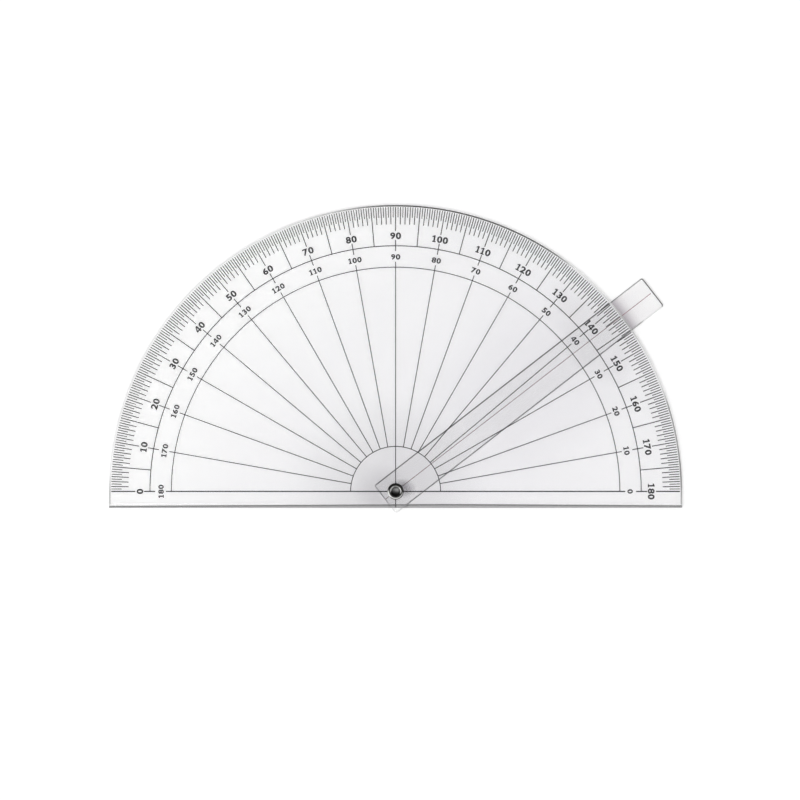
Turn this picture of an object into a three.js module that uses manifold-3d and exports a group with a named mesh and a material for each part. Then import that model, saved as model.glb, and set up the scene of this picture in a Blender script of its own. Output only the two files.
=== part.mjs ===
// Axis protractor: a clear half-disc plate with a degree scale, and a clear arm that turns on a rivet.
// Millimetres, +Z up. Angles run anticlockwise from +X, and the straight drawing edge faces -Y.
// The arm lies under the plate. The scale is printed on the plate's underside, the index line on the
// arm's upper face, so that the two prints face each other and are read without parallax.
// Origin: the pivot axis, at the flat face of the rivet's head.

import * as THREE from 'three';
import { mergeVertices } from 'three/addons/utils/BufferGeometryUtils.js';
import Module from 'manifold-3d';

const wasm = await Module();
wasm.setup();

// Plate
const plateRadius = 100.5;
const plateThickness = 1.5;
const baseStripDepth = 5.8; // from the zero line down to the drawing edge
const bevelWidth = 1.2; // of the bevel along the drawing edge
const edgeLandHeight = 0.6; // upright face that the bevel leaves at the drawing edge

// Arm
const armWidth = 12.5;
const armThickness = 1;
const armOverhang = 13.9; // past the plate's rim
const armTailReach = 4.7; // behind the pivot
const armCornerRadius = 0.85;
const armAngle = THREE.MathUtils.degToRad(37.8); // where the arm stands at rest

// Rivet and washer
const shankRadius = 1.8;
const boreRadius = 1.5;
const boreFloorHeight = 1.4; // above the head's flat face
const headRadius = 2.9;
const headThickness = 0.6;
const headEdgeChamfer = 0.15;
const rollRadius = 2.85; // outer edge of the end that is rolled over the plate
const rollHeight = 0.7;
const washerRadius = 2.75;
const washerThickness = 0.25;

// Clearances
const turningGap = 0.05; // between two faces that turn on each other
const holeClearance = 0.05; // from the shank to the wall of each hole, on the radius
const cutOverrun = 1; // how far a cutting tool passes the face that it cuts

// Print
const inkThickness = 0.05;
const lineWidth = 0.3;
const baseLineWidth = 0.42;
const indexLineWidth = 0.2;
const rimHairlineWidth = 0.14;
const printMargin = 0.1; // kept free beside the washer and at the drawing edge
const indexEndMargin = 1; // from the far end of the index line to the end of the arm

// Scale, measured inwards from the marks' outer ends
const scaleInset = 0.7; // from the cut rim to the marks' outer ends
const halfDegreeMarkLength = 3.66;
const degreeMarkLength = 6.08;
const tenDegreeMarkLength = 8.46;
const outerCircleInset = 13.6;
const innerCircleInset = 21.1;
const hubCircleRadius = 15.8;

// The ten-degree lines break off for the numerals, and these stubs are what stands at each circle
const outerCircleStubOut = 2.1;
const outerCircleStubIn = 1.85;
const innerCircleStubOut = 1.9;

// Fineness of round shapes
const marksPerDegree = 2;
const plateArcSegments = 180;
const cornerSegments = 6;
const pivotSegments = 40;
const rollSegments = 8;
const arcStep = THREE.MathUtils.degToRad(2);

// Heights of the stack, from the rivet's head up
const armBottom = headThickness + turningGap;
const armTop = armBottom + armThickness;
const washerBottom = armTop + turningGap;
const plateBottom = washerBottom + washerThickness;
const plateTop = plateBottom + plateThickness;

// Marks are counted in half degrees from 0
const countPerTen = 10 * marksPerDegree;
const lastCount = 180 * marksPerDegree;

// Radii that follow from the sizes above
const holeRadius = shankRadius + holeClearance;
const pivotPrintRadius = washerRadius + printMargin;
const scaleRadius = plateRadius - scaleInset;
const outerCircleRadius = scaleRadius - outerCircleInset;
const innerCircleRadius = scaleRadius - innerCircleInset;

// Materials
const clearPlastic = { color: 0xeef3f8, roughness: 0.12, metalness: 0, transparent: true, opacity: 0.35 };
const blackInk = { color: 0x161618, roughness: 0.55, metalness: 0 };
const redInk = { color: 0x6b2f2a, roughness: 0.55, metalness: 0 };
const nickel = { color: 0xb9bbbd, roughness: 0.25, metalness: 1 };
const nylon = { color: 0xe6e8e6, roughness: 0.5, metalness: 0 };

// A closed geometry as a solid that can be joined and cut.
function toSolid(geometry) {
  const bare = geometry.clone();
  bare.deleteAttribute('normal');
  bare.deleteAttribute('uv');
  const merged = mergeVertices(bare);
  const vertProperties = new Float32Array(merged.attributes.position.array);
  const triVerts = new Uint32Array(merged.index.array);
  return new wasm.Manifold(new wasm.Mesh({ numProp: 3, vertProperties, triVerts }));
}

// A solid back as a geometry.
function toGeometry(solid) {
  const mesh = solid.getMesh();
  const geometry = new THREE.BufferGeometry();
  geometry.setAttribute('position', new THREE.BufferAttribute(mesh.vertProperties, 3));
  geometry.setIndex(new THREE.BufferAttribute(mesh.triVerts, 1));
  const faceted = geometry.toNonIndexed();
  faceted.computeVertexNormals();
  return faceted;
}

// The point of a circle about the pivot at this angle.
function onCircle(radius, angle) {
  return new THREE.Vector2(radius * Math.cos(angle), radius * Math.sin(angle));
}

// The point that lies along a radial line by one distance and beside it, anticlockwise, by another.
function besideLine(mark, along, beside) {
  return new THREE.Vector2(along, beside).rotateAround(new THREE.Vector2(), mark.angle);
}

// Where the edge of a radial line meets a circle.
function edgeOnCircle(mark, beside, radius) {
  return besideLine(mark, Math.sqrt(radius ** 2 - beside ** 2), beside);
}

// A flat shape given a height, with its lower face at the height bottom.
function extrudeUp(shape, bottom, height, curveSegments) {
  const geometry = new THREE.ExtrudeGeometry(shape, { depth: height, bevelEnabled: false, curveSegments });
  geometry.translate(0, 0, bottom);
  return geometry;
}

// A round path about the pivot, for a hole through a flat shape.
function roundPath(radius) {
  const points = [];
  for (let i = 0; i < pivotSegments; i += 1) {
    points.push(onCircle(radius, (2 * Math.PI * i) / pivotSegments));
  }
  return new THREE.Path(points);
}

// Half disc with a straight strip below the zero line, a hole at the pivot and a bevelled drawing edge.
function plateGeometry() {
  const outline = new THREE.Shape();
  outline.absarc(0, 0, plateRadius, 0, Math.PI, false);
  outline.lineTo(-plateRadius, -baseStripDepth);
  outline.lineTo(plateRadius, -baseStripDepth);
  outline.holes.push(roundPath(holeRadius));
  const blank = toSolid(extrudeUp(outline, plateBottom, plateThickness, plateArcSegments));

  const bevelHeight = plateThickness - edgeLandHeight;
  const slope = bevelHeight / bevelWidth;
  const section = new THREE.Shape();
  section.moveTo(-baseStripDepth - cutOverrun, plateTop - bevelHeight - cutOverrun * slope);
  section.lineTo(-baseStripDepth + bevelWidth + cutOverrun, plateTop + cutOverrun * slope);
  section.lineTo(-baseStripDepth - cutOverrun, plateTop + cutOverrun * slope);
  const length = 2 * (plateRadius + cutOverrun);
  const wedge = new THREE.ExtrudeGeometry(section, { depth: length, bevelEnabled: false });
  wedge.translate(0, 0, -length / 2);
  wedge.rotateY(Math.PI / 2);
  wedge.rotateX(Math.PI / 2);
  return toGeometry(blank.subtract(toSolid(wedge)));
}

// Straight bar with small rounded corners and the pivot hole near its tail, lying along +X.
function armGeometry() {
  const corner = Math.min(armCornerRadius, armWidth / 2);
  const left = -armTailReach;
  const right = plateRadius + armOverhang;
  const side = armWidth / 2;
  const outline = new THREE.Shape();
  outline.absarc(right - corner, side - corner, corner, 0, Math.PI / 2, false);
  outline.absarc(left + corner, side - corner, corner, Math.PI / 2, Math.PI, false);
  outline.absarc(left + corner, corner - side, corner, Math.PI, 1.5 * Math.PI, false);
  outline.absarc(right - corner, corner - side, corner, 1.5 * Math.PI, 2 * Math.PI, false);
  outline.holes.push(roundPath(holeRadius));
  return extrudeUp(outline, armBottom, armThickness, cornerSegments);
}

// Semi-tubular rivet: flat head below, shank, and a tube end rolled outwards over the plate.
function rivetGeometry() {
  const profile = [
    new THREE.Vector2(0, 0),
    new THREE.Vector2(headRadius - headEdgeChamfer, 0),
    new THREE.Vector2(headRadius, headEdgeChamfer),
    new THREE.Vector2(headRadius, headThickness),
    new THREE.Vector2(shankRadius, headThickness),
    new THREE.Vector2(shankRadius, plateTop),
  ];
  const rollCentre = (rollRadius + boreRadius) / 2;
  const rollHalfWidth = (rollRadius - boreRadius) / 2;
  for (let i = 0; i <= rollSegments; i += 1) {
    const turn = (Math.PI * i) / rollSegments;
    const radius = rollCentre + rollHalfWidth * Math.cos(turn);
    profile.push(new THREE.Vector2(radius, plateTop + rollHeight * Math.sin(turn)));
  }
  profile.push(new THREE.Vector2(boreRadius, boreFloorHeight));
  profile.push(new THREE.Vector2(0, boreFloorHeight));
  const geometry = new THREE.LatheGeometry(profile, pivotSegments);
  geometry.rotateX(Math.PI / 2);
  return geometry;
}

// Thin ring between the arm and the plate, which keeps the arm off the print.
function washerGeometry() {
  const ring = new THREE.Shape(roundPath(washerRadius).getPoints());
  ring.holes.push(roundPath(holeRadius));
  return extrudeUp(ring, washerBottom, washerThickness, pivotSegments);
}

// The corners of a radial line's end that leaves a circle, in the order of rising angle.
function toothCorners(mark, rootRadius, tipRadius) {
  const half = mark.width / 2;
  return [
    edgeOnCircle(mark, -half, rootRadius),
    besideLine(mark, tipRadius, -half),
    besideLine(mark, tipRadius, half),
    edgeOnCircle(mark, half, rootRadius),
  ];
}

// The corners of successive marks joined along a circle, with points of the circle where they stand
// wide apart.
function joinedAlongCircle(radius, stops) {
  return stops.flatMap((stop, index) => {
    const points = [...stop.corners];
    const next = stops[index + 1];
    const steps = next ? Math.round((next.angle - stop.angle) / arcStep) : 0;
    for (let i = 1; i < steps; i += 1) {
      points.push(onCircle(radius, THREE.MathUtils.lerp(stop.angle, next.angle, i / steps)));
    }
    return points;
  });
}

// One side of a printed half circle, from the first mark to the last, with the lines that leave it there.
// The first and the last line close the half circle's ends, so their outermost root corners are left out.
function toothedSide(radius, marks, tipOf) {
  const stops = marks.map((mark, index) => {
    const corners = toothCorners(mark, radius, tipOf(mark));
    const from = index === 0 ? 1 : 0;
    const to = index === marks.length - 1 ? 3 : 4;
    return { angle: mark.angle, corners: corners.slice(from, to) };
  });
  return joinedAlongCircle(radius, stops);
}

// The clear window between two radial lines and two circles. Marks hang into it from the outer circle
// and stand up into it from the inner one.
function windowPath(left, right, innerRadius, outerRadius, hanging, standing) {
  const leftEdge = left.width / 2;
  const rightEdge = -right.width / 2;
  const stopsAt = (radius, marks, tipOf) => [
    { angle: left.angle, corners: [edgeOnCircle(left, leftEdge, radius)] },
    ...marks.map((mark) => ({ angle: mark.angle, corners: toothCorners(mark, radius, tipOf(mark)) })),
    { angle: right.angle, corners: [edgeOnCircle(right, rightEdge, radius)] },
  ];
  const outside = joinedAlongCircle(outerRadius, stopsAt(outerRadius, hanging, (mark) => mark.inner));
  const inside = joinedAlongCircle(innerRadius, stopsAt(innerRadius, standing, (mark) => mark.outer));
  return new THREE.Path([...outside, ...inside.reverse()]);
}

// A mark at every stepth half degree from 0 to 180, with the reach that reachOf gives for its count.
function halfTurnMarks(step, reachOf) {
  const marks = [];
  for (let count = 0; count <= lastCount; count += step) {
    const width = count === 0 || count === lastCount ? baseLineWidth : lineWidth;
    marks.push({ count, angle: (Math.PI * count) / lastCount, width, ...reachOf(count) });
  }
  return marks;
}

// The length of the rim mark at this count of half degrees.
function rimMarkLength(count) {
  if (count % countPerTen === 0) {
    return tenDegreeMarkLength;
  }
  return count % marksPerDegree === 0 ? degreeMarkLength : halfDegreeMarkLength;
}

// The bay between the zero line and the first five-degree line, which opens where the zero line breaks
// off for its numeral: out from the circle's end, up the five-degree line and back along the rim marks.
function openBayPoints(rimMarks, crossing, bar, circleOuter, rimInner) {
  const barEdge = -bar.width / 2;
  const circleStops = [
    { angle: crossing.angle, corners: toothCorners(crossing, circleOuter, crossing.outer).slice(1) },
    { angle: bar.angle, corners: [edgeOnCircle(bar, barEdge, circleOuter)] },
  ];
  const bayMarks = rimMarks.filter((mark) => mark.count < bar.count);
  const rimStops = bayMarks.map((mark) => ({
    angle: mark.angle,
    corners: toothCorners(mark, rimInner, mark.inner).slice(mark.count === 0 ? 1 : 0),
  }));
  rimStops.push({ angle: bar.angle, corners: [edgeOnCircle(bar, barEdge, rimInner)] });
  return [
    ...joinedAlongCircle(circleOuter, circleStops),
    ...joinedAlongCircle(rimInner, rimStops).reverse(),
  ];
}

// The plain outer side of the rim's hairline, from one end of the base line to the other.
function rimEdgePoints(radius) {
  const points = [];
  const endSlant = Math.asin(baseLineWidth / 2 / radius);
  for (let i = 0; i <= plateArcSegments; i += 1) {
    points.push(onCircle(radius, THREE.MathUtils.lerp(-endSlant, Math.PI + endSlant, i / plateArcSegments)));
  }
  return points;
}

// Rim marks at each half degree, the outer circle, and the ten-degree lines that cross it.
// The five-degree lines reach the circle, and a hairline along their outer ends holds the other marks.
function outerScaleGeometry() {
  const rimInner = scaleRadius - rimHairlineWidth;
  const circleOuter = outerCircleRadius + lineWidth / 2;
  const circleInner = outerCircleRadius - lineWidth / 2;
  const rimMarks = halfTurnMarks(1, (count) => ({ inner: scaleRadius - rimMarkLength(count) }));
  const crossings = halfTurnMarks(countPerTen, () => ({
    outer: outerCircleRadius + outerCircleStubOut,
    inner: outerCircleRadius - outerCircleStubIn,
  }));
  const bars = rimMarks.filter((mark) => mark.count % countPerTen === countPerTen / 2);

  const rightBay = openBayPoints(rimMarks, crossings[0], bars[0], circleOuter, rimInner);
  const leftBay = rightBay.map((point) => new THREE.Vector2(-point.x, point.y)).reverse();
  const circle = toothedSide(circleInner, crossings, (mark) => mark.inner).reverse();
  const shape = new THREE.Shape([...rimEdgePoints(scaleRadius), ...leftBay, ...circle, ...rightBay]);
  bars.slice(1).forEach((bar, index) => {
    const previous = bars[index];
    const isBetween = (mark) => mark.count > previous.count && mark.count < bar.count;
    const hanging = rimMarks.filter(isBetween);
    const standing = crossings.filter(isBetween);
    shape.holes.push(windowPath(previous, bar, circleOuter, rimInner, hanging, standing));
  });
  return extrudeUp(shape, plateBottom - inkThickness, inkThickness);
}

// The inner circle, the rays to the hub circle, and the three lines that run on to the pivot.
function innerScaleGeometry() {
  const half = lineWidth / 2;
  const rays = halfTurnMarks(countPerTen, () => ({
    outer: innerCircleRadius + innerCircleStubOut,
    inner: pivotPrintRadius,
  }));
  const hubLines = rays.filter((ray) => ray.count % (lastCount / 2) === 0);
  const outside = toothedSide(innerCircleRadius + half, rays, (ray) => ray.outer);
  const inside = toothedSide(hubCircleRadius - half, hubLines, (ray) => ray.inner);
  const shape = new THREE.Shape([...outside, ...inside.reverse()]);
  const windowFrom = hubCircleRadius + half;
  const windowTo = innerCircleRadius - half;
  rays.slice(1).forEach((ray, index) => {
    shape.holes.push(windowPath(rays[index], ray, windowFrom, windowTo, [], []));
  });
  return extrudeUp(shape, plateBottom - inkThickness, inkThickness);
}

// A straight printed line from one point of the X axis to another.
function lineGeometry(from, to, width, bottom) {
  const geometry = new THREE.BoxGeometry(to - from, width, inkThickness);
  geometry.translate((from + to) / 2, 0, bottom + inkThickness / 2);
  return geometry;
}

// The square line's last stretch, from the pivot down to the drawing edge.
function vertexTickGeometry() {
  const end = baseStripDepth - printMargin;
  const geometry = lineGeometry(pivotPrintRadius, end, lineWidth, plateBottom - inkThickness);
  geometry.rotateZ(-Math.PI / 2);
  return geometry;
}

function namedMesh(name, geometry, material) {
  const mesh = new THREE.Mesh(geometry, new THREE.MeshStandardMaterial(material));
  mesh.name = name;
  return mesh;
}

// The index line on the arm's upper face, broken where the washer sits.
function indexLineGeometry() {
  const end = plateRadius + armOverhang - indexEndMargin;
  return lineGeometry(pivotPrintRadius, end, indexLineWidth, armTop);
}

function indexTailGeometry() {
  return lineGeometry(printMargin - armTailReach, -pivotPrintRadius, indexLineWidth, armTop);
}

const protractor = new THREE.Group();
protractor.add(namedMesh('plate', plateGeometry(), clearPlastic));
protractor.add(namedMesh('outer_scale', outerScaleGeometry(), blackInk));
protractor.add(namedMesh('inner_scale', innerScaleGeometry(), blackInk));
protractor.add(namedMesh('vertex_tick', vertexTickGeometry(), blackInk));
protractor.add(namedMesh('rivet', rivetGeometry(), nickel));
protractor.add(namedMesh('spacer_washer', washerGeometry(), nylon));

const swingingArm = new THREE.Group();
swingingArm.add(namedMesh('arm', armGeometry(), clearPlastic));
swingingArm.add(namedMesh('index_line', indexLineGeometry(), redInk));
swingingArm.add(namedMesh('index_tail', indexTailGeometry(), redInk));
swingingArm.rotation.z = armAngle;
protractor.add(swingingArm);

export default protractor;
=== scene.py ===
# Axis protractor: the looks of the clear plate, the index arm, the rivet and the printed scales.
# Metres, +Z up from the paper, the pivot at the origin, the ninety-degree mark towards +Y.

import math

import bmesh
import bpy
from mathutils import Matrix, Vector


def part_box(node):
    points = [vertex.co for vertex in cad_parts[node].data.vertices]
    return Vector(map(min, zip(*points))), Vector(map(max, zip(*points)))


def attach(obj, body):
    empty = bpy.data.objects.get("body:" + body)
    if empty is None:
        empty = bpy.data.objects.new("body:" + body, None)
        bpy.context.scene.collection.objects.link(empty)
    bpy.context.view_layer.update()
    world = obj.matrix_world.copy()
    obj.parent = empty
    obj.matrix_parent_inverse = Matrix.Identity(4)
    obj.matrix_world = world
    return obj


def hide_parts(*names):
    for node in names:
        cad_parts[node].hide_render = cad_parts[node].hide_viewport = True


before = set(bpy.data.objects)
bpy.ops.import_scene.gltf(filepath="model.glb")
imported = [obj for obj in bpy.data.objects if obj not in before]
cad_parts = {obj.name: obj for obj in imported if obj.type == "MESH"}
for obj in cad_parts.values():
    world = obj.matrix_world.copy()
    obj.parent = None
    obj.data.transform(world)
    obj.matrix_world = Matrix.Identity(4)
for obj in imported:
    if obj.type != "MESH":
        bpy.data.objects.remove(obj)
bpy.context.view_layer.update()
print("frame loaded:", len(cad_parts), "nodes")

mm = 0.001
plateLow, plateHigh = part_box("plate")
armLow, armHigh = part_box("arm")
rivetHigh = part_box("rivet")[1]
scaleLow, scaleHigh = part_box("outer_scale")
plateRadius = plateHigh.x
holeRadius = 1.85 * mm  # of the pivot hole through the plate and the arm
skinGap = 0.01 * mm  # between a clear face and the print on it, and the tolerance when edges are picked
mergeDistance = 1e-7  # points nearer to each other than this are one
acrylicIor = 1.49


# Nodes and materials

# Adds a node; its inputs are values or sockets to link from.
def addNode(material, kind, inputs=None, **settings):
    tree = material.node_tree
    node = tree.nodes.new(kind)
    for name, value in settings.items():
        setattr(node, name, value)
    for name, value in (inputs or {}).items():
        if isinstance(value, bpy.types.NodeSocket):
            tree.links.new(value, node.inputs[name])
        else:
            node.inputs[name].default_value = value
    return node


def newMaterial(name, inputs):
    material = bpy.data.materials.new(name)
    material.use_nodes = True
    shader = material.node_tree.nodes["Principled BSDF"]
    for socket, value in inputs.items():
        shader.inputs[socket].default_value = value
    return material, shader


def linkTo(material, socket, target, name):
    material.node_tree.links.new(socket, target.inputs[name])


# Object coordinates, centred and scaled, or turned about the pivot.
def placed(material, scale=(1, 1, 1), centre=(0, 0, 0), angle=0.0):
    coordinates = addNode(material, "ShaderNodeTexCoord").outputs["Object"]
    mapping = addNode(material, "ShaderNodeMapping", {
        "Vector": coordinates,
        "Location": [-c * s for c, s in zip(centre, scale)],
        "Rotation": (0, 0, angle),
        "Scale": scale,
    })
    return mapping.outputs["Vector"]


def noise(material, vector, scale, detail, roughness=0.5):
    node = addNode(material, "ShaderNodeTexNoise", {
        "Vector": vector, "Scale": scale, "Detail": detail, "Roughness": roughness,
    })
    return node.outputs["Fac"]


def remapped(material, value, fromLow, fromHigh, toLow, toHigh):
    node = addNode(material, "ShaderNodeMapRange", {
        "Value": value, "From Min": fromLow, "From Max": fromHigh, "To Min": toLow, "To Max": toHigh,
    })
    return node.outputs["Result"]


def ramped(material, factor, stops):
    node = addNode(material, "ShaderNodeValToRGB", {"Fac": factor})
    elements = node.color_ramp.elements
    while len(elements) < len(stops):
        elements.new(0.5)
    for element, (position, colour) in zip(elements, stops):
        element.position = position
        element.color = (*colour, 1)
    return node.outputs["Color"]


def bumped(material, height, strength, distance):
    node = addNode(material, "ShaderNodeBump", {
        "Height": height, "Strength": strength, "Distance": distance,
    })
    return node.outputs["Normal"]


clearPlateLook = {
    "sheetShadeCentre": (45.7 * mm, 36.4 * mm, 0),
    "sheetShadeReach": 214 * mm,
    "sheetShadeNarrowing": 0.51,  # of the painted shade across its length
    "sheetShadeAngle": math.radians(39),
    "sheetShade": [  # painted shade over the sheet, darkest at its centre on the arm's line and lighter outwards
        (0.0, 0.840), (0.1, 0.854), (0.2, 0.876), (0.3, 0.909), (0.4, 0.921), (0.5, 0.924), (0.6, 0.941),
        (0.7, 0.968), (0.8, 0.985), (0.9, 0.993), (1.0, 0.996),
    ],
    "absorbed": (0.94, 1.0, 0.85),  # share of the painted shade in red, green and blue
    "shadeRingCentre": (-4.8 * mm, -0.2 * mm, 0),
    "shadeRingReach": 36 * mm,
    "shadeRing": [  # painted shade round the rivet
        (0.08, 0.72), (0.15, 0.755), (0.3, 0.865), (0.6, 0.92), (1.0, 1.0),
    ],
    "shadeRingAbsorbed": (0.98, 1.0, 0.96),
    "armSideShadeCentre": (69.2 * mm, 53.6 * mm, 0),
    "armSideShadeReach": 12 * mm,
    "armSideShadeNarrowing": 1.75,
    "armSideShadeAngle": math.radians(37.8),
    "armSideShade": [(0.0, 0.945), (0.6, 0.945), (1.0, 1.0)],  # painted shade: a grey patch across the arm's outer part and beside it
    "rivetShadowCentre": (2.4 * mm, 1.15 * mm, 0),
    "rivetShadowReach": 5.6 * mm,
    "rivetShadowNarrowing": 0.7,
    "rivetShadow": [  # painted shadow of the rivet, to its right and upper right
        (0.15, 0.28), (0.3, 0.34), (0.45, 0.44), (0.62, 0.57), (0.75, 0.74), (0.88, 0.89), (1.0, 1.0),
    ],
    "cloudScale": 22,  # patches per metre
    "clouding": 0.02,  # how much the painted shade varies from place to place
    "smearScale": 30,
    "roughness": (0.012, 0.05),
    "wipes": [(0.5, 17 * mm, 0.19 * mm), (-1.1, 22 * mm, 0.22 * mm)],  # angle, length and width
    "wipeRelief": 0.02,
    "wipeDepth": 0.02 * mm,
}


# The part of a ramp that a point's distance from a centre picks. The rings may be oblong.
def ringShade(material, centre, reach, stops, absorbed, shift=None, narrowing=1.0, angle=0.0):
    vector = addNode(material, "ShaderNodeMapping", {
        "Vector": addNode(material, "ShaderNodeTexCoord").outputs["Object"],
        "Location": centre,
        "Rotation": (0, 0, angle),
        "Scale": (reach, reach * narrowing, reach),
    }, vector_type="TEXTURE").outputs["Vector"]
    distance = addNode(material, "ShaderNodeVectorMath", {0: vector}, operation="LENGTH").outputs["Value"]
    if shift is not None:
        distance = addNode(material, "ShaderNodeMath", {0: distance, 1: shift},
                           operation="ADD").outputs["Value"]
    return ramped(material, distance, [
        (position, [1 - (1 - clear) * share for share in absorbed]) for position, clear in stops
    ])


# Two colours multiplied. A Mix node of colours has its factor at 0 and the colours at 6 and 7.
def product(material, first, second):
    node = addNode(material, "ShaderNodeMix", {0: 1.0, 6: first, 7: second},
                   data_type="RGBA", blend_type="MULTIPLY")
    return node.outputs[2]


def mixedBy(material, factor, first, second):
    return addNode(material, "ShaderNodeMix", {0: factor, 6: first, 7: second}, data_type="RGBA").outputs[2]


wipeShare = (0.66, 0.74)  # of the noise, from where a mark begins to where it is full


# Fine wiping marks that run one way, thin and far apart.
def wipeMarks(material, angle, length, width):
    vector = addNode(material, "ShaderNodeMapping", {
        "Vector": addNode(material, "ShaderNodeTexCoord").outputs["Object"],
        "Rotation": (0, 0, angle),
        "Scale": (length, width, width),
    }, vector_type="TEXTURE").outputs["Vector"]
    marks = noise(material, vector, 1.0, 2.0, 0.6)
    return remapped(material, marks, *wipeShare, 0.0, 1.0)


def clearPlateMaterial():
    look = clearPlateLook
    material, shader = newMaterial("clearPlate", {
        "Transmission Weight": 1.0, "IOR": acrylicIor, "Roughness": 0.02,
    })
    clouds = remapped(material, noise(material, placed(material), look["cloudScale"], 2.0), 0.3, 0.7,
                      -look["clouding"], look["clouding"])
    # Painted shade over the sheet, darker towards its centre.
    sheetShade = ringShade(material, look["sheetShadeCentre"], look["sheetShadeReach"], look["sheetShade"], look["absorbed"], clouds,
                     look["sheetShadeNarrowing"], look["sheetShadeAngle"])
    # Painted shade round the rivet.
    shadeRing = ringShade(material, look["shadeRingCentre"], look["shadeRingReach"], look["shadeRing"], look["shadeRingAbsorbed"])
    # Painted shade beside the arm's outer part.
    armSideShade = ringShade(material, look["armSideShadeCentre"], look["armSideShadeReach"], look["armSideShade"],
                        look["shadeRingAbsorbed"], None, look["armSideShadeNarrowing"], look["armSideShadeAngle"])
    # Painted shadow of the rivet.
    rivetShadow = ringShade(material, look["rivetShadowCentre"], look["rivetShadowReach"], look["rivetShadow"],
                      look["shadeRingAbsorbed"], None, look["rivetShadowNarrowing"])
    colour = product(material, product(material, sheetShade, shadeRing), product(material, armSideShade, rivetShadow))
    linkTo(material, colour, shader, "Base Color")
    smears = noise(material, placed(material), look["smearScale"], 4.0, 0.6)
    linkTo(material, remapped(material, smears, 0.35, 0.75, *look["roughness"]), shader, "Roughness")
    first, second = [wipeMarks(material, *wipe) for wipe in look["wipes"]]
    wipes = addNode(material, "ShaderNodeMath", {0: first, 1: second}, operation="MAXIMUM").outputs["Value"]
    linkTo(material, bumped(material, wipes, look["wipeRelief"], look["wipeDepth"]), shader, "Normal")
    return material


clearArmLook = {
    "rimShadowReach": 120 * mm,
    "rimShadow": [  # painted shadow of the plate's rim across the arm, fading outwards, with the end a little darker
        (0.0, 1.0), (0.8365, 1.0), (0.838, 0.45), (0.843, 0.52), (0.852, 0.635), (0.858, 0.71),
        (0.863, 0.77), (0.875, 0.85), (0.89, 0.875), (0.905, 0.895), (0.92, 0.91), (0.935, 0.92),
        (1.0, 0.94),
    ],
    "absorbed": (0.94, 1.0, 0.94),
    "cloudScale": 35,  # patches per metre
    "clouding": [(0.3, (0.985, 0.985, 0.985)), (0.7, (1.0, 1.0, 1.0))],
    "reflection": (0.1, 0.1, 0.1, 1),  # low, as its faces lie close to the plate and the paper
    "smearScale": 60,
    "roughness": (0.02, 0.06),
    "wipe": (17 * mm, 0.19 * mm),  # length and width of a mark along the arm
    "wipeRelief": 0.015,
    "wipeDepth": 0.02 * mm,
}


def clearArmMaterial():
    look = clearArmLook
    material, shader = newMaterial("clearArm", {
        "Transmission Weight": 1.0, "IOR": acrylicIor, "Roughness": 0.03,
        "Specular Tint": look["reflection"],
    })
    clouds = ramped(material, noise(material, placed(material), look["cloudScale"], 2.0), look["clouding"])
    # Painted shadow of the plate's rim on the arm.
    rimShadow = ringShade(material, (0, 0, 0), look["rimShadowReach"], look["rimShadow"], look["absorbed"])
    linkTo(material, product(material, rimShadow, clouds), shader, "Base Color")
    smears = noise(material, placed(material), look["smearScale"], 4.0, 0.6)
    linkTo(material, remapped(material, smears, 0.35, 0.75, *look["roughness"]), shader, "Roughness")
    wipes = wipeMarks(material, armShape["angle"], *look["wipe"])
    linkTo(material, bumped(material, wipes, look["wipeRelief"], look["wipeDepth"]), shader, "Normal")
    return material


# The plate's rim. Its rounded upper edge carries painted light and shade by direction from the pivot,
# darkest towards the ninety-degree mark, in turns from the left end through the drawing edge. A turn of 0.5
# is the right end and 0.75 the ninety-degree mark.
rimLook = {
    "wall": (0.7, 0.7, 0.7, 1),  # of the upright side below it
    "roundedFrom": (2.65 * mm, 2.9 * mm),  # heights between which one passes into the other
    "shade": [
        (0.0, 0.48), (0.495, 0.5), (0.508, 0.2), (0.53, 0.4), (0.547, 0.35), (0.562, 0.9), (0.585, 0.9),
        (0.6, 0.45), (0.617, 0.85), (0.64, 1.0), (0.652, 0.3), (0.664, 0.07), (0.75, 0.06), (0.765, 0.2),
        (0.79, 0.7), (0.82, 0.92), (0.99, 0.95), (1.0, 0.48),
    ],
    "lines": 2600,  # cutter marks per metre
    "transmission": 0.2,
    "roughness": 0.45,
}

# The drawing edge: painted shade, a dark line that bows down towards both ends, clear above it and grey
# below.
bevelLook = {
    "shade": [  # by depth below the zero line in millimetres, along the middle
        (4.28, 1.0), (4.40, 0.15), (4.84, 0.15), (5.02, 0.36), (5.4, 0.34), (5.8, 0.28),
    ],
    "tick": 0.3,  # the vertex tick of the print shows through as a darker stripe
    "tickHalfWidth": (0.1 * mm, 0.25 * mm),
    "bowMiddle": 18 * mm,
    "bow": 0.0058,  # drop of the line per metre from its middle
    "lines": 1800,
    "transmission": 0.5,
    "roughness": 0.1,
}

# The arm's long edges, by distance from the pivot along the arm in millimetres: painted light and shade,
# darker under the plate and in the rim's shadow, lighter at the tail and past it.
sawnEdgeLook = {
    "leftShade": [
        (-4.3, 0.9), (-3.2, 0.36), (14.5, 0.32), (17.5, 0.14), (99.8, 0.14), (101.5, 0.28), (103, 0.45),
        (113.3, 0.45), (113.8, 0.2),
    ],
    "rightShade": [
        (-4.3, 1.0), (-1.7, 0.9), (-1.2, 0.5), (14.5, 0.5), (17.5, 0.4), (104.5, 0.4), (106.0, 1.0),
        (113.4, 1.0), (113.9, 0.2),
    ],
    "sideBlend": 0.2 * mm,
    "lines": 2600,
    "transmission": 0.3,
    "roughness": 0.45,
}


# A grey ramp whose stops are lengths in millimetres.
def lengthShade(material, length, stops):
    low = stops[0][0]
    high = stops[-1][0]
    share = remapped(material, length, low * mm, high * mm, 0, 1)
    return ramped(material, share, [((at - low) / (high - low), (grey, grey, grey)) for at, grey in stops])


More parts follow.
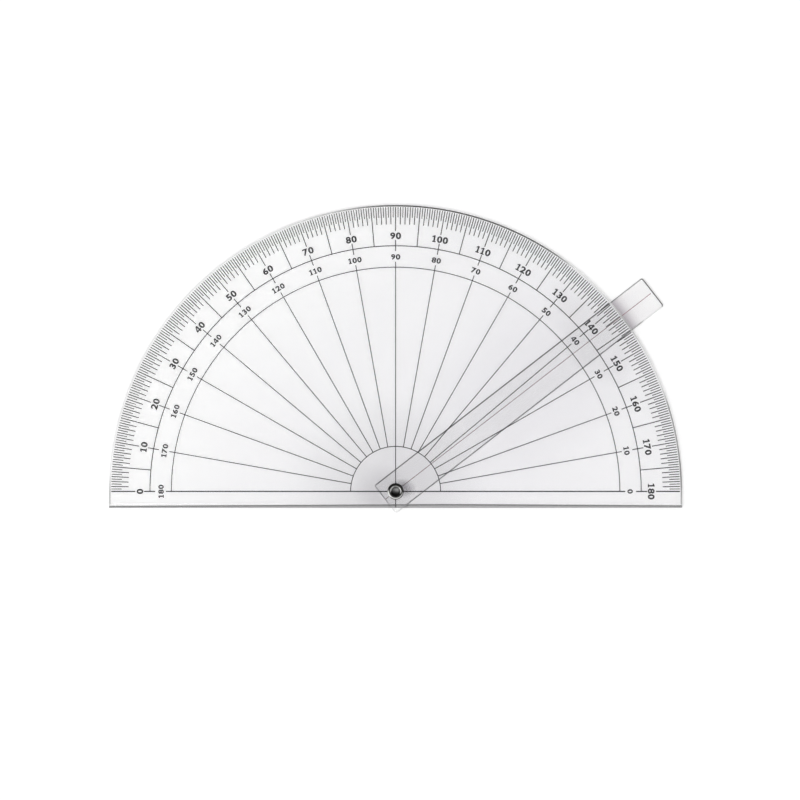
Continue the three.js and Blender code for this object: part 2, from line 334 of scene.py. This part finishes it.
def rimShade(material, look):
    turn = addNode(material, "ShaderNodeTexGradient", {"Vector": placed(material)},
                   gradient_type="RADIAL").outputs["Fac"]
    greys = ramped(material, turn, [(position, (grey, grey, grey)) for position, grey in look["shade"]])
    height = addNode(material, "ShaderNodeSeparateXYZ", {0: placed(material)}).outputs["Z"]
    rounded = remapped(material, height, *look["roundedFrom"], 0, 1)
    return mixedBy(material, rounded, look["wall"], greys)


def bevelShade(material, look):
    place = addNode(material, "ShaderNodeSeparateXYZ",
                    {0: placed(material, (1, -1, 1), (look["bowMiddle"], 0, 0))}).outputs
    aside = addNode(material, "ShaderNodeMath", {0: place["X"]}, operation="ABSOLUTE").outputs["Value"]
    depth = addNode(material, "ShaderNodeMath", {0: aside, 1: -look["bow"], 2: place["Y"]},
                    operation="MULTIPLY_ADD").outputs["Value"]
    across = addNode(material, "ShaderNodeSeparateXYZ", {0: placed(material)}).outputs["X"]
    across = addNode(material, "ShaderNodeMath", {0: across}, operation="ABSOLUTE").outputs["Value"]
    tick = remapped(material, across, *look["tickHalfWidth"], look["tick"], 1.0)
    return product(material, lengthShade(material, depth, look["shade"]), tick)


def sawnShade(material, look):
    along = placed(material, angle=-armShape["angle"])
    place = addNode(material, "ShaderNodeSeparateXYZ", {0: along}).outputs
    side = remapped(material, place["Y"], -look["sideBlend"], look["sideBlend"], 0, 1)
    return mixedBy(material, side, lengthShade(material, place["X"], look["rightShade"]),
                   lengthShade(material, place["X"], look["leftShade"]))


cutPlasticLook = {
    "upright": 0.12,  # the cutter's marks are this much sparser upwards, which draws them out
    "streaks": [(0.2, (0.88, 0.885, 0.89)), (0.8, (1.0, 1.0, 1.0))],
    "roughnessShares": (0.8, 1.25),
    "relief": 0.25,
    "depth": 0.03 * mm,
}


# Cut plastic: frosted and grey, with the fine marks of the cutter.
def cutEdgeMaterial(name, look, shadeOf):
    cut = cutPlasticLook
    material, shader = newMaterial(name, {
        "Transmission Weight": look["transmission"], "IOR": acrylicIor, "Roughness": look["roughness"],
    })
    lines = look["lines"]
    marks = noise(material, placed(material, (lines, lines, lines * cut["upright"])), 1.0, 3.0, 0.6)
    streaks = ramped(material, marks, cut["streaks"])
    linkTo(material, product(material, shadeOf(material, look), streaks), shader, "Base Color")
    smoothest, roughest = [look["roughness"] * share for share in cut["roughnessShares"]]
    linkTo(material, remapped(material, marks, 0.3, 0.7, smoothest, roughest), shader, "Roughness")
    linkTo(material, bumped(material, marks, cut["relief"], cut["depth"]), shader, "Normal")
    return material


blackInkLook = {
    "colour": [(0.35, (0.008, 0.008, 0.01)), (0.75, (0.022, 0.022, 0.026))],
    "grain": 9000,
    "roughness": (0.42, 0.62),
}

redInkLook = {
    "colour": [(0.35, (0.17, 0.036, 0.06)), (0.75, (0.22, 0.05, 0.075))],
    "grain": 9000,
    "roughness": (0.42, 0.62),
}


# Printed ink: matt, with a fine uneven film.
def inkMaterial(name, look):
    material, shader = newMaterial(name, {"Roughness": 0.5, "Specular IOR Level": 0.25})
    grain = noise(material, placed(material), look["grain"], 3.0, 0.65)
    linkTo(material, ramped(material, grain, look["colour"]), shader, "Base Color")
    linkTo(material, remapped(material, grain, 0.3, 0.7, *look["roughness"]), shader, "Roughness")
    linkTo(material, bumped(material, grain, 0.3, 0.01 * mm), shader, "Normal")
    return material


# The rivet's greys are painted light and shade, going by direction in turns as on the rim. Each set begins
# at its own radius, and the floor inside the mouth is painted shade, grey by millimetres towards the
# ninety-degree mark.
rivetLook = {
    "flank": [  # painted highlight on the outside at the lower left, painted shade elsewhere
        (0.0, 0.8), (0.03, 1.0), (0.10, 1.0), (0.14, 0.8), (0.40, 0.8), (0.46, 0.6), (0.50, 0.08),
        (0.93, 0.02), (0.97, 0.2), (1.0, 0.75),
    ],
    "foot": [  # a painted shadow line along its lower side, where it meets the plate
        (0.0, 0.75), (0.10, 0.9), (0.15, 0.04), (0.40, 0.04), (0.45, 0.3), (0.50, 0.08), (0.93, 0.02),
        (0.97, 0.2), (1.0, 0.75),
    ],
    # painted shade on the crest
    "crest": [(0.0, 0.03), (0.14, 0.06), (0.25, 0.10), (0.40, 0.05), (0.48, 0.02), (1.0, 0.02)],
    # painted highlights on the mouth's edge, at the right and the upper left
    "mouth": [
        (0.0, 0.7), (0.04, 0.05), (0.42, 0.03), (0.48, 0.8), (0.53, 1.0), (0.60, 0.95), (0.66, 0.35),
        (0.79, 0.35), (0.85, 0.9), (0.95, 0.95), (1.0, 0.7),
    ],
    "footRadius": 2.6 * mm,
    "flankRadius": 2.3 * mm,
    "crestRadius": 1.98 * mm,
    "mouthRadius": 1.58 * mm,
    "ringBlend": 0.06 * mm,
    "floor": [(-1.4, 0.01), (-0.7, 0.012), (-0.1, 0.04), (0.6, 0.085), (1.1, 0.065), (1.4, 0.045)],
    "grain": 5000,
    "roughness": (0.34, 0.5),
}


# Plated steel, with a painted highlight where the rolled end faces the lower left and painted shade
# elsewhere.
def rivetMaterial():
    look = rivetLook
    material, shader = newMaterial("platedSteel", {"Metallic": 1.0})
    radius = addNode(material, "ShaderNodeVectorMath", {0: placed(material, (1, 1, 0))},
                     operation="LENGTH").outputs["Value"]
    turn = addNode(material, "ShaderNodeTexGradient", {"Vector": placed(material)},
                   gradient_type="RADIAL").outputs["Fac"]
    height = addNode(material, "ShaderNodeSeparateXYZ", {0: placed(material)}).outputs["Y"]
    colour = lengthShade(material, height, look["floor"])
    for ring in ("mouth", "crest", "flank", "foot"):
        edge = look[ring + "Radius"]
        outside = remapped(material, radius, edge - look["ringBlend"], edge + look["ringBlend"], 0, 1)
        greys = [(position, (grey, grey, grey * 0.98)) for position, grey in look[ring]]
        colour = mixedBy(material, outside, colour, ramped(material, turn, greys))
    linkTo(material, colour, shader, "Base Color")
    grain = noise(material, placed(material), look["grain"], 4.0, 0.6)
    linkTo(material, remapped(material, grain, 0.3, 0.7, *look["roughness"]), shader, "Roughness")
    linkTo(material, bumped(material, grain, 0.2, 0.02 * mm), shader, "Normal")
    return material


washerLook = {
    "colour": [(0.3, (0.74, 0.75, 0.73)), (0.7, (0.84, 0.85, 0.83))],
    "grain": 3000,
}


def washerMaterial():
    material, shader = newMaterial("naturalNylon", {"Roughness": 0.5, "IOR": 1.53})
    grain = noise(material, placed(material), washerLook["grain"], 3.0, 0.6)
    linkTo(material, ramped(material, grain, washerLook["colour"]), shader, "Base Color")
    linkTo(material, bumped(material, grain, 0.2, 0.02 * mm), shader, "Normal")
    return material


# Shapes

# Turns a finished bmesh into a piece of the object.
def newPiece(name, bm, body, materials, replaced=()):
    mesh = bpy.data.meshes.new(name)
    bm.to_mesh(mesh)
    bm.free()
    piece = bpy.data.objects.new(name, mesh)
    bpy.context.scene.collection.objects.link(piece)
    for material in materials:
        mesh.materials.append(material)
    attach(piece, body)
    if replaced:
        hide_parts(*replaced)
    return piece


# Gives a flat sheet of faces its thickness, with sharp edges.
def raisedBy(bm, height):
    raised = bmesh.ops.extrude_face_region(bm, geom=bm.faces[:])["geom"]
    upper = [vert for vert in raised if isinstance(vert, bmesh.types.BMVert)]
    bmesh.ops.translate(bm, verts=upper, vec=(0, 0, height))


# A flat sheet of faces becomes a bar with rounded edges, above and below. Its triangles are joined
# first, because long ones beside a hole would fold over as their ends move in.
def thickened(bm, thickness, rounding, steps):
    bmesh.ops.dissolve_limit(bm, angle_limit=math.radians(1), verts=[],
                             edges=[edge for edge in bm.edges if not edge.is_boundary])
    drop = bm.verts.layers.float.new("drop")
    sheet = bm.faces[:]
    for vert in bm.verts:
        vert[drop] = rounding
    inset = 0.0
    for step in range(1, steps + 1):
        turn = math.pi / 2 * step / steps
        reach = rounding * (1 - math.cos(turn))
        bmesh.ops.inset_region(bm, faces=sheet, thickness=reach - inset,
                               use_boundary=True, use_even_offset=True)
        inset = reach
        for vert in {vert for face in sheet for vert in face.verts}:
            vert[drop] = rounding * (1 - math.sin(turn))
    low = min(vert.co.z for vert in bm.verts)
    for vert in bm.verts:
        vert.co.z = low + vert[drop]
    raised = bmesh.ops.extrude_face_region(bm, geom=bm.faces[:])["geom"]
    for vert in raised:
        if isinstance(vert, bmesh.types.BMVert):
            vert.co.z = 2 * low + thickness - vert.co.z
    bmesh.ops.recalc_face_normals(bm, faces=bm.faces)


# Flat faces stay flat and clear; every other face is smooth and takes the cut edge's material.
def finishFaces(bm, edgeIndex):
    for face in bm.faces:
        heights = [vert.co.z for vert in face.verts]
        level = max(heights) - min(heights) < 10 * mergeDistance
        face.smooth = not level
        face.material_index = 0 if level else edgeIndex


plateShape = {
    "stripDepth": -plateLow.y,
    "bevelWidth": 1.2 * mm,
    "landHeight": 0.6 * mm,  # upright face left at the drawing edge
    "softening": 0.55 * mm,  # rounding of the rim's upper edge
    "softeningSegments": 4,
    "sharpAngle": 1.0,  # only edges past this angle are softened so
    "creaseSoftening": 0.22 * mm,  # of the bevel's upper and lower edges
    "creaseSegments": 2,
    "turnSteps": 720,
}
crease = plateShape["bevelWidth"] - plateShape["stripDepth"]  # where the bevel meets the upper face
sameDirection = 0.999  # cosine past which two directions count as one


# A disc with a hole, cut off at the drawing edge and with straight sides below the zero line.
def plateSheet(bm, bottom):
    shape = plateShape
    ends = [bm.verts.new((radius, 0, bottom)) for radius in (holeRadius, plateRadius)]
    line = bm.edges.new(ends)
    bmesh.ops.spin(bm, geom=[*ends, line], cent=(0, 0, 0), axis=(0, 0, 1), angle=2 * math.pi,
                   steps=shape["turnSteps"], use_merge=True)
    everything = bm.verts[:] + bm.edges[:] + bm.faces[:]
    bmesh.ops.bisect_plane(bm, geom=everything, plane_co=(0, -shape["stripDepth"], 0), plane_no=(0, -1, 0),
                           clear_outer=True)
    for vert in bm.verts:
        if vert.co.y < 0 and vert.co.xy.length > plateRadius - skinGap:
            vert.co.x = math.copysign(plateRadius, vert.co.x)
    bmesh.ops.remove_doubles(bm, verts=bm.verts, dist=mergeDistance)


# The sheet raised to the plate's thickness, with the bevel's slope cut off it.
def bevelledBlock(bm, bottom, slant):
    raisedBy(bm, plateHigh.z - bottom)
    everything = bm.verts[:] + bm.edges[:] + bm.faces[:]
    bmesh.ops.bisect_plane(bm, geom=everything, plane_co=(0, crease, plateHigh.z), plane_no=slant,
                           clear_outer=True)
    bmesh.ops.contextual_create(bm, geom=[edge for edge in bm.edges if edge.is_boundary])
    bmesh.ops.recalc_face_normals(bm, faces=bm.faces)


# Rounds the upper edge round the rim, then the bevel's two edges.
def softenedBlock(bm):
    shape = plateShape
    rim = [
        edge for edge in bm.edges
        if all(vert.co.z > plateHigh.z - skinGap for vert in edge.verts)
        and edge.calc_face_angle(0) > shape["sharpAngle"]
        and all(vert.co.xy.length > 2 * holeRadius and vert.co.y > crease - skinGap for vert in edge.verts)
        and not all(vert.co.y < crease + skinGap for vert in edge.verts)
    ]
    bmesh.ops.bevel(bm, geom=rim, offset=shape["softening"], affect="EDGES",
                    segments=shape["softeningSegments"], profile=0.5, material=-1)
    bmesh.ops.recalc_face_normals(bm, faces=bm.faces)
    landTop = plateLow.z + shape["landHeight"]
    creaseEdges = [
        edge for edge in bm.edges
        if all(abs(vert.co.y - crease) < skinGap and vert.co.z > plateHigh.z - skinGap
               for vert in edge.verts)
        or all(abs(vert.co.y + shape["stripDepth"]) < skinGap and abs(vert.co.z - landTop) < skinGap
               for vert in edge.verts)
    ]
    bmesh.ops.bevel(bm, geom=creaseEdges, offset=shape["creaseSoftening"], affect="EDGES",
                    segments=shape["creaseSegments"], profile=0.5, material=-1)
    bmesh.ops.recalc_face_normals(bm, faces=bm.faces)


# The bevel takes the second material, and every other cut face the third.
def dressBlock(bm, slant):
    finishFaces(bm, 2)
    for face in bm.faces:
        front = max(vert.co.y for vert in face.verts) < crease + 2 * plateShape["creaseSoftening"]
        if front and face.material_index == 2 and abs(face.normal.x) < 0.5:
            upright = face.normal.y < -sameDirection
            face.material_index = 2 if upright else 1
            face.smooth = not upright and face.normal.dot(slant) < sameDirection


def clearPlate():
    bottom = plateLow.z + skinGap
    bevelHeight = plateHigh.z - plateLow.z - plateShape["landHeight"]
    slant = Vector((0, -bevelHeight, plateShape["bevelWidth"])).normalized()
    bm = bmesh.new()
    plateSheet(bm, bottom)
    bevelledBlock(bm, bottom, slant)
    softenedBlock(bm)
    dressBlock(bm, slant)
    milled = cutEdgeMaterial("milledRim", rimLook, rimShade)
    bevelFace = cutEdgeMaterial("milledBevel", bevelLook, bevelShade)
    materials = [clearPlateMaterial(), bevelFace, milled]
    return newPiece("clearPlate", bm, "plate", materials, ["plate"])


armShape = {
    "angle": math.radians(37.8),
    "width": 12.5 * mm,
    "reach": 114.4 * mm,
    "tailReach": 4.7 * mm,
    "cornerRadius": 0.85 * mm,
    "cornerSegments": 8,
    "softening": 0.42 * mm,
    "softeningSteps": 3,
    "holeSteps": 48,
}


def clearArm():
    shape = armShape
    bottom = armLow.z
    thickness = armHigh.z - skinGap - bottom
    bm = bmesh.new()
    side = shape["width"] / 2
    corners = [(-shape["tailReach"], -side), (shape["reach"], -side), (shape["reach"], side),
               (-shape["tailReach"], side)]
    face = bm.faces.new([bm.verts.new((x, y, bottom)) for x, y in corners])
    bmesh.ops.bevel(bm, geom=face.verts[:], offset=shape["cornerRadius"], affect="VERTICES",
                    segments=shape["cornerSegments"], profile=0.5, material=-1)
    bmesh.ops.delete(bm, geom=bm.faces[:], context="FACES_ONLY")
    bmesh.ops.create_circle(bm, segments=shape["holeSteps"], radius=holeRadius,
                            matrix=Matrix.Translation((0, 0, bottom)))
    bmesh.ops.triangle_fill(bm, edges=bm.edges[:], use_beauty=True, normal=(0, 0, 1))
    thickened(bm, thickness, shape["softening"], shape["softeningSteps"])
    finishFaces(bm, 1)
    bmesh.ops.rotate(bm, verts=bm.verts, cent=(0, 0, 0), matrix=Matrix.Rotation(shape["angle"], 3, "Z"))
    sawn = cutEdgeMaterial("sawnEdge", sawnEdgeLook, sawnShade)
    return newPiece("clearArm", bm, "arm", [clearArmMaterial(), sawn], ["arm"])


rivetShape = {
    "headRadius": 2.88 * mm,
    "headThickness": 0.6 * mm,
    "headRounding": 0.15 * mm,
    "headSteps": 6,
    "shankRadius": 1.8 * mm,
    "rollRadius": 2.84 * mm,
    "crestRadius": 2.08 * mm,
    "crownHeight": 0.45 * mm,  # of the rounded top above the rolled end's upright sides
    "crownSteps": 8,
    "mouthRadius": 1.5 * mm,
    "boreFloor": 1.4 * mm,
    "boreRise": 0.3 * mm,  # of the floor from its middle to the bore's side
    "turnSteps": 96,
    "creaseAngle": math.radians(40),
}


# Half the rivet's section, from the middle of its head to the middle of the bore's floor.
def rivetProfile():
    shape = rivetShape
    rounding = shape["headRounding"]
    profile = [(0, 0)]
    for step in range(shape["headSteps"] + 1):
        turn = math.pi / 2 * step / shape["headSteps"]
        profile.append((shape["headRadius"] - rounding + rounding * math.sin(turn),
                        rounding - rounding * math.cos(turn)))
    headTop = shape["headThickness"]
    profile += [(shape["headRadius"], headTop), (shape["shankRadius"], headTop),
                (shape["shankRadius"], plateHigh.z), (shape["rollRadius"], plateHigh.z)]
    falling = [1 - step / shape["crownSteps"] for step in range(shape["crownSteps"])]
    for end, shares in ((shape["rollRadius"], falling), (shape["mouthRadius"], [0, *reversed(falling)])):
        for share in shares:
            profile.append((shape["crestRadius"] + (end - shape["crestRadius"]) * share,
                            rivetHigh.z - shape["crownHeight"] * share ** 2))
    floor = shape["boreFloor"]
    return profile + [(shape["mouthRadius"], floor + shape["boreRise"]), (0, floor)]


def rolledRivet():
    shape = rivetShape
    bm = bmesh.new()
    verts = [bm.verts.new((radius, 0, height)) for radius, height in rivetProfile()]
    edges = [bm.edges.new(pair) for pair in zip(verts, verts[1:])]
    bmesh.ops.spin(bm, geom=verts + edges, cent=(0, 0, 0), axis=(0, 0, 1), angle=2 * math.pi,
                   steps=shape["turnSteps"], use_merge=True)
    bmesh.ops.remove_doubles(bm, verts=bm.verts, dist=mergeDistance)
    bmesh.ops.recalc_face_normals(bm, faces=bm.faces)
    for face in bm.faces:
        face.smooth = abs(face.normal.z) < 0.9999  # all but the level faces
    for edge in bm.edges:
        edge.smooth = edge.calc_face_angle(0) < shape["creaseAngle"]
    return newPiece("rolledRivet", bm, "plate", [rivetMaterial()], ["rivet"])


# Print

scaleShape = {
    "degrees": 180,
    "halfDegreeMark": 3.66 * mm,
    "degreeMark": 6.08 * mm,
    "tenDegreeMark": 8.46 * mm,
    "halfDegreeWidth": 0.285 * mm,
    "degreeWidth": 0.32 * mm,
    "lineWidth": 0.33 * mm,
    "baseLineWidth": 0.42 * mm,
    "circleInset": 13.6 * mm,
    "stubOut": 2.1 * mm,  # how far the tens cross the outer circle, outwards and inwards
    "stubIn": 1.85 * mm,
}


# A radial line of the print from one radius to another.
def radialLine(bm, angle, fromRadius, toRadius, width):
    place = (Matrix.Rotation(angle, 4, "Z")
             @ Matrix.Translation(((fromRadius + toRadius) / 2, 0, (scaleLow.z + scaleHigh.z) / 2))
             @ Matrix.Diagonal((toRadius - fromRadius, width, scaleHigh.z - scaleLow.z, 1)))
    bmesh.ops.create_cube(bm, size=1, matrix=place)


def rimScale(ink):
    shape = scaleShape
    bm = bmesh.new()
    outer = scaleHigh.x
    circleRadius = outer - shape["circleInset"]
    for count in range(2 * shape["degrees"] + 1):
        angle = math.radians(count / 2)
        ends = count in (0, 2 * shape["degrees"])
        width = shape["halfDegreeWidth"]
        length = shape["halfDegreeMark"]
        if count % 20 == 0:
            length = shape["tenDegreeMark"]
            width = shape["baseLineWidth"] if ends else shape["lineWidth"]
            radialLine(bm, angle, circleRadius - shape["stubIn"], circleRadius + shape["stubOut"], width)
        elif count % 10 == 0:
            length = shape["circleInset"]
            width = shape["lineWidth"]
        elif count % 2 == 0:
            length = shape["degreeMark"]
            width = shape["degreeWidth"]
        radialLine(bm, angle, outer - length, outer, width)

    half = shape["lineWidth"] / 2
    corners = [(-half, scaleLow.z), (half, scaleLow.z), (half, scaleHigh.z), (-half, scaleHigh.z)]
    section = [bm.verts.new((circleRadius + side, 0, height)) for side, height in corners]
    start = bm.faces.new(section)
    bmesh.ops.spin(bm, geom=[start, *start.edges, *section], cent=(0, 0, 0), axis=(0, 0, 1), angle=math.pi,
                   steps=shape["degrees"])
    bmesh.ops.recalc_face_normals(bm, faces=bm.faces)
    return newPiece("rimScale", bm, "plate", [ink], ["outer_scale"])


numeralShape = {
    "step": 10,
    "outerRing": {"radius": 89.7 * mm, "height": 2.38 * mm, "setWidth": 2.55 * mm},
    "innerRing": {"radius": 82.3 * mm, "height": 1.94 * mm, "setWidth": 2.15 * mm},
    "advanceShare": 0.79,  # of the set width, from one digit to the next
    "oneAdvanceShare": 0.70,
    "widthShare": 1.1,  # the digits are a little wider than the typeface draws them
    "weightShare": 0.039,
    "curveSteps": 4,
    "weld": 0.016,  # closes the small folds of the bolder outline, in shares of the height
}

# The one has a slanting flag and a foot, and the four a closed eye. Outlines in shares of the set
# width and the height, from the middle of the base line.
drawnDigits = {
    "1": [[(-0.25, 0.0), (0.25, 0.0), (0.25, 0.16), (0.12, 0.16), (0.12, 1.0), (-0.05, 1.0), (-0.29, 0.86),
           (-0.29, 0.68), (-0.10, 0.77), (-0.10, 0.16), (-0.25, 0.16)]],
    "4": [[(0.03, 0.0), (0.25, 0.0), (0.25, 0.19), (0.38, 0.19), (0.38, 0.37), (0.25, 0.37), (0.25, 1.0),
           (0.01, 1.0), (-0.38, 0.39), (-0.38, 0.19), (0.03, 0.19)],
          [(0.04, 0.38), (0.04, 0.72), (-0.16, 0.38)]],
}


def drawDigit(bm, outlines):
    for outline in outlines:
        corners = [bm.verts.new((x, y - 0.5, -0.5)) for x, y in outline]
        for corner, following in zip(corners, corners[1:] + corners[:1]):
            bm.edges.new((corner, following))
    bmesh.ops.triangle_fill(bm, edges=bm.edges[:], use_beauty=True, normal=(0, 0, 1))
    raisedBy(bm, 1)


# The digit of Blender's own font, made bolder.
def typeDigit(bm, digit):
    shape = numeralShape
    curve = bpy.data.curves.new("digit", "FONT")
    curve.body = digit
    curve.extrude = 0.5
    curve.offset = shape["weightShare"]
    curve.resolution_u = shape["curveSteps"]
    holder = bpy.data.objects.new("digit", curve)
    bpy.context.scene.collection.objects.link(holder)
    bpy.context.view_layer.update()
    mesh = bpy.data.meshes.new_from_object(holder.evaluated_get(bpy.context.evaluated_depsgraph_get()))
    bm.from_mesh(mesh)
    bpy.data.objects.remove(holder)
    bpy.data.meshes.remove(mesh)
    low = Vector([min(vert.co[i] for vert in bm.verts) for i in range(3)])
    high = Vector([max(vert.co[i] for vert in bm.verts) for i in range(3)])
    size = high - low
    bmesh.ops.translate(bm, verts=bm.verts, vec=-(low + high) / 2)
    bmesh.ops.scale(bm, verts=bm.verts, vec=(shape["widthShare"] / size.y, 1 / size.y, 1 / size.z))


# A digit as a closed solid one unit high and one unit thick, centred on the origin.
def digitMesh(digit):
    bm = bmesh.new()
    if digit in drawnDigits:
        drawDigit(bm, drawnDigits[digit])
    else:
        typeDigit(bm, digit)
    bmesh.ops.remove_doubles(bm, verts=bm.verts, dist=numeralShape["weld"])
    bmesh.ops.recalc_face_normals(bm, faces=bm.faces)
    mesh = bpy.data.meshes.new("digit" + digit)
    bm.to_mesh(mesh)
    bm.free()
    return mesh


# Numbers round the scale, each square to its radius with its top towards the rim.
def numeralRing(name, ring, valueAt, digits, ink):
    shape = numeralShape
    setWidth = ring["setWidth"]
    bm = bmesh.new()
    for degree in range(0, scaleShape["degrees"] + 1, shape["step"]):
        words = str(valueAt(degree))
        advances = [shape["oneAdvanceShare"] if c == "1" else shape["advanceShare"] for c in words]
        place = -sum(advances) / 2
        for character, advance in zip(words, advances):
            known = len(bm.verts)
            bm.from_mesh(digits[character])
            bm.verts.ensure_lookup_table()
            matrix = (Matrix.Rotation(math.radians(degree - 90), 4, "Z")
                      @ Matrix.Translation(((place + advance / 2) * setWidth, ring["radius"],
                                            (scaleLow.z + scaleHigh.z) / 2))
                      @ Matrix.Diagonal((setWidth, ring["height"], scaleHigh.z - scaleLow.z, 1)))
            bmesh.ops.transform(bm, matrix=matrix, verts=bm.verts[known:])
            place += advance
    return newPiece(name, bm, "plate", [ink])


# Studio

studio = {
    "pixelsAcross": 800,
    "pixelsPerMetre": 2849,
    "pivotPixel": (395.6, 491.4),  # from the photograph's upper left corner
    "lens": 250,
    "sensor": 36,
    "farthestSeen": 20,
    "floorSize": 8.0,
    "floorDrop": 0.02 * mm,  # below the rivet's head, so that the two faces don't meet
    "lamps": [("leftLight", 228, 78, 10.0)],  # name, direction and height in degrees, and power
    "lampDistance": 1.6,
    "lampSize": 0.3,
    "worldLight": 0.5,
    "windowLight": 1.2,  # a bright window on the left, in the world
    "windowDirection": (-0.79, -0.08, 0.61),
    "windowFocus": 16,
    "mirroredLight": (0.2, 0.85),
    "mirroredDirection": (-0.55, -0.83, 0),
    "mirroredSpread": 0.9,
    "glowSeenDirectly": 0.36,  # share of the floor's own glow
    "glowSeenThroughPlastic": 0.55,
    "glowStrength": 1.35,
}


def addCamera():
    camera = bpy.data.cameras.new("camera")
    camera.lens = studio["lens"]
    camera.sensor_width = studio["sensor"]
    across = studio["pixelsAcross"] / studio["pixelsPerMetre"]
    distance = across * studio["lens"] / studio["sensor"]
    middle = studio["pixelsAcross"] / 2
    x = (middle - studio["pivotPixel"][0]) / studio["pixelsPerMetre"]
    y = (studio["pivotPixel"][1] - middle) / studio["pixelsPerMetre"]
    holder = bpy.data.objects.new("camera", camera)
    holder.location = (x, y, scaleHigh.z + distance)
    camera.clip_end = studio["farthestSeen"]
    bpy.context.scene.collection.objects.link(holder)
    bpy.context.scene.camera = holder


# Paper that glows in part, so that it is white and still shows shadows. More of the glow is seen
# through the plastic.
def addFloor():
    material, shader = newMaterial("paper", {
        "Base Color": (0.95, 0.95, 0.95, 1), "Roughness": 0.9, "Specular IOR Level": 0.1,
    })
    rays = addNode(material, "ShaderNodeLightPath").outputs
    direct = addNode(material, "ShaderNodeMath", {0: rays["Is Camera Ray"], 1: studio["glowSeenDirectly"]},
                     operation="MULTIPLY").outputs["Value"]
    bent = addNode(material, "ShaderNodeMath", {0: rays["Is Transmission Ray"], 1: rays["Is Glossy Ray"]},
                   operation="MAXIMUM").outputs["Value"]
    bent = addNode(material, "ShaderNodeMath", {0: bent, 1: studio["glowSeenThroughPlastic"]},
                   operation="MULTIPLY").outputs["Value"]
    share = addNode(material, "ShaderNodeMath", {0: direct, 1: bent}, operation="MAXIMUM").outputs["Value"]
    glow = addNode(material, "ShaderNodeEmission", {
        "Color": (1, 1, 1, 1), "Strength": studio["glowStrength"],
    })
    mix = addNode(material, "ShaderNodeMixShader", {0: share, 1: shader.outputs["BSDF"], 2: glow.outputs[0]})
    output = material.node_tree.nodes["Material Output"]
    material.node_tree.links.new(mix.outputs[0], output.inputs["Surface"])
    bm = bmesh.new()
    bmesh.ops.create_grid(bm, x_segments=1, y_segments=1, size=studio["floorSize"] / 2,
                          matrix=Matrix.Translation((0, 0, -studio["floorDrop"])))
    mesh = bpy.data.meshes.new("floor")
    bm.to_mesh(mesh)
    bm.free()
    mesh.materials.append(material)
    floor = bpy.data.objects.new("floor", mesh)
    bpy.context.scene.collection.objects.link(floor)


def addLights():
    for name, direction, height, power in studio["lamps"]:
        lamp = bpy.data.lights.new(name, "AREA")
        lamp.energy = power
        lamp.size = studio["lampSize"]
        holder = bpy.data.objects.new(name, lamp)
        aim = Vector((math.cos(math.radians(direction)), math.sin(math.radians(direction)), 0))
        aim = aim * math.cos(math.radians(height)) + Vector((0, 0, math.sin(math.radians(height))))
        holder.location = aim * studio["lampDistance"]
        holder.rotation_euler = (-aim).to_track_quat("-Z", "Y").to_euler()
        bpy.context.scene.collection.objects.link(holder)


# An even light with a bright window on the left. Mirrored, it darkens away from the lower left, and
# the camera sees it white. A Mix node of numbers has its factor at 0 and the numbers at 2 and 3.
def addWorld():
    world = bpy.data.worlds.new("world")
    bpy.context.scene.world = world
    world.use_nodes = True
    background = world.node_tree.nodes["Background"]
    background.inputs["Color"].default_value = (1, 1, 1, 1)
    rays = addNode(world, "ShaderNodeLightPath").outputs
    direction = addNode(world, "ShaderNodeTexCoord").outputs["Generated"]

    facing = addNode(world, "ShaderNodeVectorMath", {
        0: direction, 1: Vector(studio["windowDirection"]).normalized(),
    }, operation="DOT_PRODUCT").outputs["Value"]
    facing = addNode(world, "ShaderNodeMath", {0: facing, 1: 0.0}, operation="MAXIMUM").outputs["Value"]
    window = addNode(world, "ShaderNodeMath", {0: facing, 1: studio["windowFocus"]},
                     operation="POWER").outputs["Value"]
    plain = addNode(world, "ShaderNodeMath", {0: window, 1: studio["windowLight"], 2: studio["worldLight"]},
                    operation="MULTIPLY_ADD").outputs["Value"]

    turned = addNode(world, "ShaderNodeVectorMath", {0: direction, 1: studio["mirroredDirection"]},
                     operation="DOT_PRODUCT").outputs["Value"]
    spread = studio["mirroredSpread"]
    faded = remapped(world, turned, -spread, spread, *studio["mirroredLight"])
    mirrored = addNode(world, "ShaderNodeMath", {0: rays["Is Glossy Ray"], 1: rays["Is Transmission Ray"]},
                       operation="SUBTRACT", use_clamp=True).outputs["Value"]
    strength = addNode(world, "ShaderNodeMix", {0: mirrored, 2: plain, 3: faded}).outputs[0]
    strength = addNode(world, "ShaderNodeMix", {0: rays["Is Camera Ray"], 2: strength, 3: 1.0}).outputs[0]
    world.node_tree.links.new(strength, background.inputs["Strength"])


addCamera()
addFloor()
addLights()
addWorld()
bpy.context.scene.view_settings.view_transform = "Standard"
print("studio set")

blackInk = inkMaterial("blackInk", blackInkLook)
redInk = inkMaterial("redInk", redInkLook)
clearPlate()
print("plate made")
clearArm()
print("arm made")
rolledRivet()
print("rivet made")
rimScale(blackInk)
digits = {character: digitMesh(character) for character in "0123456789"}
numeralRing("outerNumerals", numeralShape["outerRing"], lambda degree: scaleShape["degrees"] - degree,
            digits, blackInk)
numeralRing("innerNumerals", numeralShape["innerRing"], lambda degree: degree, digits, blackInk)
print("print made")

for node, material in (("inner_scale", blackInk), ("vertex_tick", blackInk), ("index_line", redInk),
                       ("index_tail", redInk), ("spacer_washer", washerMaterial())):
    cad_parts[node].material_slots[0].material = material
print("frame dressed")
